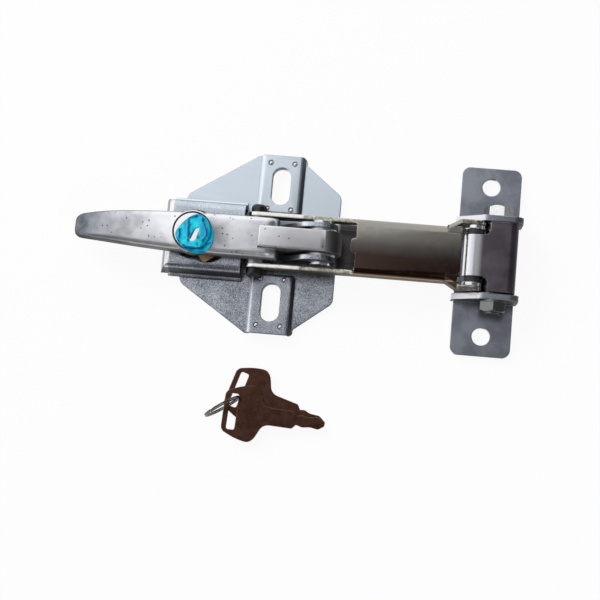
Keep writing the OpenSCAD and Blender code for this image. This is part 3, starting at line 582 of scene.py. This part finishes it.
COLLAR_INSIDE, COLLAR_WALL = 0.3 * MM, 0.7 * MM
COLLAR_LONG, COLLAR_ROUND = 2.2 * MM, 0.3 * MM


def pin_collars():
    """A bright collar at the outer end of each black spacer on the hook's pin."""
    low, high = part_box("hook_spacers")
    middle = middle_of("hook_spacers")
    inner = (high.x - low.x) / 2 - COLLAR_INSIDE
    outer = inner + COLLAR_WALL
    profile = [
        (inner, 0),
        (outer - COLLAR_ROUND, 0),
        (outer, COLLAR_ROUND),
        (outer, COLLAR_LONG - COLLAR_ROUND),
        (outer - COLLAR_ROUND, COLLAR_LONG),
        (inner, COLLAR_LONG),
        (inner, 0),
    ]
    parts = []
    for side in (-1, 1):
        at = Vector((middle.x, side * (high.y - COLLAR_LONG), middle.z))
        parts.append(turned(profile, at, side * Y_AXIS, X_AXIS))
    piece("pin_collars", *joined(parts), "arm", "pin_steel", smooth=False)


WEB_BELOW_HOOK = 1 * MM
CORNER_R = 1.2 * MM
CORNER_BULGE = 0.35 * CORNER_R


def web_corners():
    """The two corners of the arm's web, beside the hook's knuckle."""
    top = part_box("hook_plate")[1].z - WEB_BELOW_HOOK
    left, right = JOG_START - OVERLAP, WEB_RIGHT
    inner, outer = KNUCKLE_HALF - OVERLAP, ARM_HALF
    far = [
        (left, inner),
        (right - SINK, inner),
        (right - SINK, outer - CORNER_R),
        (right - CORNER_BULGE, outer - CORNER_BULGE),
        (right - CORNER_R, outer - SINK),
        (left, outer - SINK),
    ]
    near = [(x, -y) for x, y in reversed(far)]
    parts = [slab(corners, top - SHEET + SINK, top - SINK) for corners in (far, near)]
    piece("web_corners", *joined(parts), "arm", "arm_plated", smooth=False)


TONGUE_HALF = 11 * MM
RIM_LONG, RIM_WIDE, RIM_CHAMFER, RIM_BACK = 13 * MM, 2.4 * MM, 0.8 * MM, 0.3 * MM


def tongue_rim():
    """The rim along the far side of the plate's tongue, under the arm."""
    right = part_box("base_plate")[1].x - RIM_BACK
    left = right - RIM_LONG
    inner, outer = TONGUE_HALF - OVERLAP, TONGUE_HALF + RIM_WIDE
    corners = [
        (left, inner),
        (right, inner),
        (right, outer - RIM_CHAMFER),
        (right - RIM_CHAMFER, outer),
        (left, outer),
    ]
    piece("tongue_rim", *slab(corners, SINK, SHEET - SINK), "base", "zinc_sheet", smooth=False)


# Torn film on the lock, in mm from the middle of the lock's face.
# Its own reach and its tear's reach are listed for each 30 degrees round their centres.
FILM_REACH = (9.0, 9.0, 9.7, 10.5, 9.3, 9.1, 10.2, 9.3, 9.1, 9.1, 9.9, 9.5)
TEAR_REACH = (1.6, 2.1, 4.0, 2.3, 1.3, 1.1, 1.3, 2.1, 3.8, 3.3, 2.2, 1.6)
FILM_CENTRE = Vector((2.1, -2.0))
TEAR_CENTRE = Vector((1.3, -1.8))
CREASES = [
    ((-2.1, 5.7), (-1.5, -5.1)),
    ((-2.7, 6.2), (2.0, 7.4)),
    ((-6.2, -0.1), (-5.9, -3.9)),
    ((4.9, -6.8), (7.8, -1.0)),
    ((-7.0, -5.0), (-2.0, -8.6)),
    ((5.5, -8.5), (9.3, -5.0)),
    ((-2.0, -8.6), (5.5, -8.5)),
    ((7.8, -1.0), (4.5, 6.8)),
]
FILM_ROWS, FILM_TURNS = 27, 144
CREASE_WIDE, CREASE_WOBBLE = 0.30, 0.8
FILM_FLAT, CREASE_RISE, RIPPLE_RISE, RIM_DROP = 0.30, 0.30, 0.16, 0.62
HANG_FROM, HANG_SLOPE = 9.9, 0.9
# Painted shade on the film: a line over the gap round the lock's rim, and a share towards plus X
RIM_LINE_OUT, RIM_LINE_WIDE, RIM_SHADE = 0.2, 0.35, 0.85
HEM_ROWS, HEM_SHADE = 1.2, 0.7
PATCH_SHADE = 1.1
SIDE_SHADE_FROM, SIDE_SHADE_WIDE, SIDE_SHADE_SHARE = 3.0, 2.0, 0.45
FILM_THICK = 0.08 * MM


def reach_at(reaches, turn):
    """A smooth reach between the listed ones; turn goes from 0 to 1."""
    count = len(reaches)
    step, t = divmod(turn * count, 1)
    a, b, c, d = (reaches[(int(step) + shift) % count] for shift in (-1, 0, 1, 2))
    return b + 0.5 * t * (c - a + t * (2 * a - 5 * b + 4 * c - d + t * (3 * (b - c) + d - a)))


def waves(spot, scale, layer, shift=0.0):
    """Smooth noise over the film from -1 to 1; each layer has its own."""
    return noise.noise((spot.x * scale + shift, spot.y * scale, layer))


def crease_at(spot):
    """How creased the film is at a place, from 0 to 1."""
    most = 0.0
    wobble = CREASE_WOBBLE * waves(spot, scale=0.4, layer=3.0)
    for start_at, end_at in CREASES:
        first, run = Vector(start_at), Vector(end_at) - Vector(start_at)
        share = clamp((spot - first).dot(run) / run.length_squared)
        off = (spot - first - run * share).length + wobble
        most = max(most, math.exp(-off ** 2 / CREASE_WIDE))
    return most


def film_lift(spot, face_r, crease):
    """The film's height over the lock's face in mm: it drops past the rim and hangs at its near end."""
    off_face = clamp(spot.length - face_r + 0.1)
    hang = max(-spot.y - HANG_FROM, 0)
    rise = FILM_FLAT + CREASE_RISE * crease + RIPPLE_RISE * waves(spot, scale=0.35, layer=7.0)
    return rise - RIM_DROP * off_face - HANG_SLOPE * hang


def film_shade(spot, face_r, crease, rows_to_hem):
    """How dark the film is, from 0 to 1: painted shade along creases, over the gap round the lock's rim and
    towards plus X, and darker at its hem and in patches.
    """
    rim = math.exp(-((spot.length - face_r - RIM_LINE_OUT) / RIM_LINE_WIDE) ** 2)
    hem = math.exp(-(rows_to_hem / HEM_ROWS) ** 2)
    patch = waves(spot, scale=0.45, layer=1.0, shift=5)
    shade_to_right = SIDE_SHADE_SHARE * clamp((spot.x - SIDE_SHADE_FROM) / SIDE_SHADE_WIDE)
    return clamp(max(crease, RIM_SHADE * rim, HEM_SHADE * hem, PATCH_SHADE * patch, shade_to_right))


def lock_film():
    """The film as a thin crumpled sheet on the lock's face."""
    low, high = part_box("lock_barrel")
    face_r = (high.x - low.x) / 2 / MM
    middle = middle_of("lock_barrel")
    points, shades = [], []
    last = FILM_ROWS - 1
    for row in range(FILM_ROWS):
        for step in range(FILM_TURNS):
            turn = step / FILM_TURNS
            way = Vector((math.cos(2 * math.pi * turn), math.sin(2 * math.pi * turn)))
            torn = TEAR_CENTRE + way * reach_at(TEAR_REACH, turn)
            spot = torn.lerp(FILM_CENTRE + way * reach_at(FILM_REACH, turn), row / last)
            crease = crease_at(spot)
            lift = film_lift(spot, face_r, crease)
            points.append((middle.x + spot.x * MM, middle.y + spot.y * MM, high.z + lift * MM))
            shades.append(film_shade(spot, face_r, crease, last - row))
    faces = [(a, d, c, b) for a, b, c, d in net(FILM_ROWS, FILM_TURNS)]
    made = piece("film_sheet", points, faces, "handle", "film_blue")
    layer = made.data.color_attributes.new(SHADE_LAYER, "FLOAT_COLOR", "POINT")
    for entry, shade in zip(layer.data, shades):
        entry.color = (shade, shade, shade, 1)
    made.modifiers.new("thickness", "SOLIDIFY").thickness = FILM_THICK
    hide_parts("lock_film")


GAP_SHADE_WIDE, GAP_SHADE_PROUD, GAP_SHADE_DEEP = 0.75 * MM, 0.12 * MM, 0.6 * MM
GAP_SHADE_FOOT, GAP_SHADE_LIP = -0.5 * MM, 0.02 * MM


def gap_shadow_ring():
    """A thin black ring in the gap round the lock's face, standing in for the shadow in the gap: painted
    shade.
    """
    low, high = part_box("lock_barrel")
    middle = middle_of("lock_barrel")
    inner = (high.x - low.x) / 2
    outer = inner + GAP_SHADE_WIDE
    profile = [
        (inner + SINK, GAP_SHADE_FOOT),
        (inner + SINK, GAP_SHADE_PROUD),
        (inner + GAP_SHADE_WIDE / 2, 1.5 * GAP_SHADE_PROUD),
        (outer, GAP_SHADE_PROUD),
        (outer, GAP_SHADE_LIP),
    ]
    at = Vector((middle.x, middle.y, high.z - GAP_SHADE_DEEP))
    piece("gap_shadow_ring", *turned(profile, at, Z_AXIS, X_AXIS, 72), "handle", "spacer_black")


# Keys: outlines in mm from the tip at 0 to the head's back, as (x, y, reach of the rounding)
KEY_HEAD = [(-16, 4.4, 0.6), (-30.5, 4.4, 3.5), (-35.2, 14.8, 5.5), (-43.5, 13.2, 4), (-51.1, 9.8, 2.5)]
KEY_UPPER = [(0, 1, 0.6), (-4, 3.1, 1), (-9, 2.3, 1.5), (-12, 3.1, 1), (-14.2, 2.2, 0.6)]
KEY_LOWER = [(0, -1, 0.6), (-3, -3.1, 1), (-7, -2.4, 1.5), (-11, -3.1, 1), (-14.2, -2.2, 0.6)]
KEY_SLOT = [(-44.3, 9, 1.2), (-48.5, 9, 1.2), (-48.5, -9, 1.2), (-44.3, -9, 1.2)]
KEY_TIP = Vector((32.5, -88.7, 0)) * MM
KEY_LIE, KEY_PITCH, KEY_FAN = math.radians(-10), math.radians(3.141), math.radians(7)
KEY_THICK, KEY_BEVEL = 1.8 * MM, 0.25 * MM
ROUNDING_STEPS, ROUNDING_MOST = 6, 0.45
# Each key: its name, the node it stands for, its turn in the fan and its height over the floor
KEYS = [
    ("front_key", "key_front", KEY_FAN, 1.9 * MM),
    ("rear_key", "key_back", -KEY_FAN, 0.05 * MM),
]


def rounded_off(corners):
    """The outline in metres, with each corner cut back by its reach and bridged by a curve."""
    outline = []
    count = len(corners)
    for index, (x, y, reach) in enumerate(corners):
        corner = Vector((x, y)) * MM
        ends = []
        for other in (corners[index - 1], corners[(index + 1) % count]):
            way = Vector(other[:2]) * MM - corner
            ends.append(corner + way.normalized() * min(reach * MM, way.length * ROUNDING_MOST))
        for step in range(ROUNDING_STEPS + 1):
            t = step / ROUNDING_STEPS
            outline.append((1 - t) ** 2 * ends[0] + 2 * t * (1 - t) * corner + t ** 2 * ends[1])
    return outline


def plate_mesh(outlines, thick, bevel):
    """Points and faces of a flat plate with rounded-over edges; outlines after the first are holes."""
    curve = bpy.data.curves.new("outline", "CURVE")
    curve.dimensions, curve.fill_mode = "2D", "BOTH"
    curve.extrude, curve.bevel_depth, curve.bevel_resolution = thick / 2 - bevel, bevel, 2
    curve.offset = -bevel
    for outline in outlines:
        spline = curve.splines.new("POLY")
        spline.points.add(len(outline) - 1)
        for point, place_at in zip(spline.points, outline):
            point.co = (*place_at, 0, 1)
        spline.use_cyclic_u = True
    holder = bpy.data.objects.new("outline", curve)
    bpy.context.scene.collection.objects.link(holder)
    made = bmesh.new()
    made.from_mesh(holder.evaluated_get(bpy.context.evaluated_depsgraph_get()).to_mesh())
    bmesh.ops.remove_doubles(made, verts=made.verts, dist=0.001 * MM)
    bmesh.ops.recalc_face_normals(made, faces=made.faces)
    made.verts.index_update()
    points = [vertex.co.copy() for vertex in made.verts]
    faces = [tuple(vertex.index for vertex in face.verts) for face in made.faces]
    made.free()
    bpy.data.objects.remove(holder)
    bpy.data.curves.remove(curve)
    return points, faces


def keys():
    """Two keys with rounded heads, lying fanned one on the other."""
    head_back = [(x, -y, reach) for x, y, reach in reversed(KEY_HEAD)]
    outline = rounded_off(KEY_UPPER + KEY_HEAD + head_back + KEY_LOWER[::-1])
    points, faces = plate_mesh([outline, rounded_off(KEY_SLOT)], KEY_THICK, KEY_BEVEL)
    turn = Matrix.Rotation(KEY_LIE, 4, "Z") @ Matrix.Rotation(KEY_PITCH, 4, "Y")
    lying = Matrix.Translation(KEY_TIP) @ turn
    for name, node, fan, lift in KEYS:
        pose = lying @ Matrix.Rotation(fan, 4, "Z") @ Matrix.Translation((0, 0, lift + KEY_THICK / 2))
        made = piece(name, [pose @ point for point in points], faces, "keys", "key_metal", smooth=False)
        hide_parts(node)


# The ring's wire: its radius, and in such radii how far it lies in from the outside and its turns lie apart.
# Its start and its jog are angles in radians.
RING_WIRE = 0.39 * MM
WIRE_IN, WIRE_APART = 1.4, 1.06
RING_STEPS, RING_SIDES = 160, 10
RING_START, JOG_TURN = 2.2, 0.5


def split_ring():
    """The key ring as two turns of wire, with a jog where one turn steps over to the other."""
    low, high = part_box("key_ring")
    middle = middle_of("key_ring")
    spokes = [vertex.co - middle for vertex in nodes["key_ring"].data.vertices]
    rim = max(spokes, key=lambda spoke: spoke.xy.length)
    along = Vector((rim.x, rim.y, 0)).normalized()
    axis = along.cross(Z_AXIS)
    ring_r = (high.z - low.z) / 2 - WIRE_IN * RING_WIRE
    points = []
    for step in range(RING_STEPS + 1):
        angle = 4 * math.pi * step / RING_STEPS
        jog = clamp((angle - 2 * math.pi) / JOG_TURN + 0.5)
        out = math.cos(angle + RING_START) * along + math.sin(angle + RING_START) * Z_AXIS
        centre = middle + out * ring_r + axis * RING_WIRE * WIRE_APART * (2 * jog - 1)
        for side in range(RING_SIDES):
            turn = 2 * math.pi * side / RING_SIDES
            points.append(centre + RING_WIRE * (math.cos(turn) * out + math.sin(turn) * axis))
    first_end = tuple(reversed(range(RING_SIDES)))
    last_end = tuple(range(RING_STEPS * RING_SIDES, (RING_STEPS + 1) * RING_SIDES))
    faces = net(RING_STEPS + 1, RING_SIDES) + [first_end, last_end]
    made = piece("split_ring", points, faces, "keys", "ring_steel")
    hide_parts("key_ring")


# Stage: camera, floor and light. The camera's turns are in radians.

PHOTO_SIDE = 600
FOCAL_PIXELS = 1379.5
SENSOR = 36.0
LOOK_AT = Vector((14.55, -26.85, 0)) * MM
DISTANCE = 700 * MM
TILT, LEAN, ROLL = 0.14, 0.06417, 0.09151


def set_camera():
    """The photograph's viewpoint, fitted to the plate's outline, with its tilt eased for the raised parts."""
    flat = math.cos(LEAN)
    back = Vector((math.sin(LEAN), -math.sin(TILT) * flat, math.cos(TILT) * flat)).normalized()
    level = Y_AXIS.cross(back).normalized()
    upright = back.cross(level)
    right = math.cos(ROLL) * level + math.sin(ROLL) * upright
    up = math.cos(ROLL) * upright - math.sin(ROLL) * level
    data = bpy.data.cameras.new("camera")
    data.sensor_width = SENSOR
    data.lens = FOCAL_PIXELS / PHOTO_SIDE * SENSOR
    data.clip_start = 10 * MM
    camera = bpy.data.objects.new("camera", data)
    pose = Matrix((right, up, back)).transposed().to_4x4()
    pose.translation = LOOK_AT + back * DISTANCE
    camera.matrix_world = pose
    bpy.context.scene.collection.objects.link(camera)
    bpy.context.scene.camera = camera


FLOOR_REACH = 4.0
FLOOR_BELOW = 0.3 * MM
FLOOR_WHITE = (0.9, 0.9, 0.9, 1)
GLOW_SHARE = 0.93


def lay_floor():
    """A wide sheet that looks white to the camera and in the metal, and still shows a soft shadow."""
    mesh = bpy.data.meshes.new("floor")
    corners = [(x * FLOOR_REACH, y * FLOOR_REACH, 0) for x, y in ((-1, -1), (1, -1), (1, 1), (-1, 1))]
    mesh.from_pydata(corners, [], [(0, 1, 2, 3)])
    floor = bpy.data.objects.new("floor", mesh)
    floor.location.z = cad_box[0].z - FLOOR_BELOW
    bpy.context.scene.collection.objects.link(floor)
    made, tree, shader = start("floor_white", metallic=0.0, Base_Color=FLOOR_WHITE, Roughness=0.9,
                               Specular_IOR_Level=0.0)
    rays = add(tree, "LightPath").outputs
    seen = maths(tree, "MAXIMUM", rays["Is Camera Ray"], rays["Is Glossy Ray"])
    seen = maths(tree, "MAXIMUM", seen, rays["Is Transmission Ray"])
    glow = add(tree, "Emission", {"Strength": 1.0}).outputs[0]
    share = times(tree, seen, GLOW_SHARE)
    mixed = add(tree, "MixShader", {0: share, 1: shader.outputs[0], 2: glow}).outputs[0]
    plug(tree, mixed, tree.nodes["Material Output"].inputs["Surface"])
    mesh.materials.append(made)


# The room's level by how far one looks towards its window, from -1 straight away to 1 straight at it
WINDOW_WAY = Vector((-0.7, 0.7, 0.15)).normalized()
ROOM_LEVELS = [
    (-1.0, 0.16),
    (-0.3, 0.10),
    (0.15, 0.10),
    (0.23, 0.20),
    (0.285, 0.46),
    (0.335, 0.85),
    (0.41, 1.0),
    (1.0, 1.0),
]
ROOM_BLUE = 1.03
# Each lamp: its name, place and side in metres, its power in watts and whether it shows in the metal
LAMPS = [
    ("window", (-0.75, 0.7, 0.75), 0.8, 11, False),
    ("fill", (0.5, -0.8, 0.9), 0.6, 1.5, True),
]


def set_light():
    """A soft room, bright towards its window and dim away from it, with a wide lamp there and a weak one."""
    world = bpy.data.worlds.new("room")
    world.use_nodes = True
    tree = world.node_tree
    way = add(tree, "TexCoord").outputs["Generated"]
    towards = add(tree, "VectorMath", {0: way, 1: WINDOW_WAY}, operation="DOT_PRODUCT").outputs["Value"]
    share = add(tree, "MapRange", {0: towards, 1: -1.0, 2: 1.0, 3: 0.0, 4: 1.0}).outputs[0]
    stops = [((at + 1) / 2, (level, level, level * ROOM_BLUE)) for at, level in ROOM_LEVELS]
    plug(tree, ramp(tree, share, stops), tree.nodes["Background"].inputs["Color"])
    bpy.context.scene.world = world
    for settings in LAMPS:
        lamp(*settings)


def lamp(name, at, side, power, glints):
    """A square lamp aimed at the part; without glints the room alone shows in its metal."""
    data = bpy.data.lights.new(name, "AREA")
    data.shape = "SQUARE"
    data.size = side
    data.energy = power
    made = bpy.data.objects.new(name, data)
    made.location = at
    made.visible_glossy = glints
    made.rotation_euler = (-Vector(at)).to_track_quat("-Z", "Y").to_euler()
    bpy.context.scene.collection.objects.link(made)


dress_solids()
weld_spots()
pin_collars()
web_corners()
tongue_rim()
lock_film()
gap_shadow_ring()
keys()
split_ring()
set_camera()
lay_floor()
set_light()
bpy.context.scene.view_settings.view_transform = "Standard"
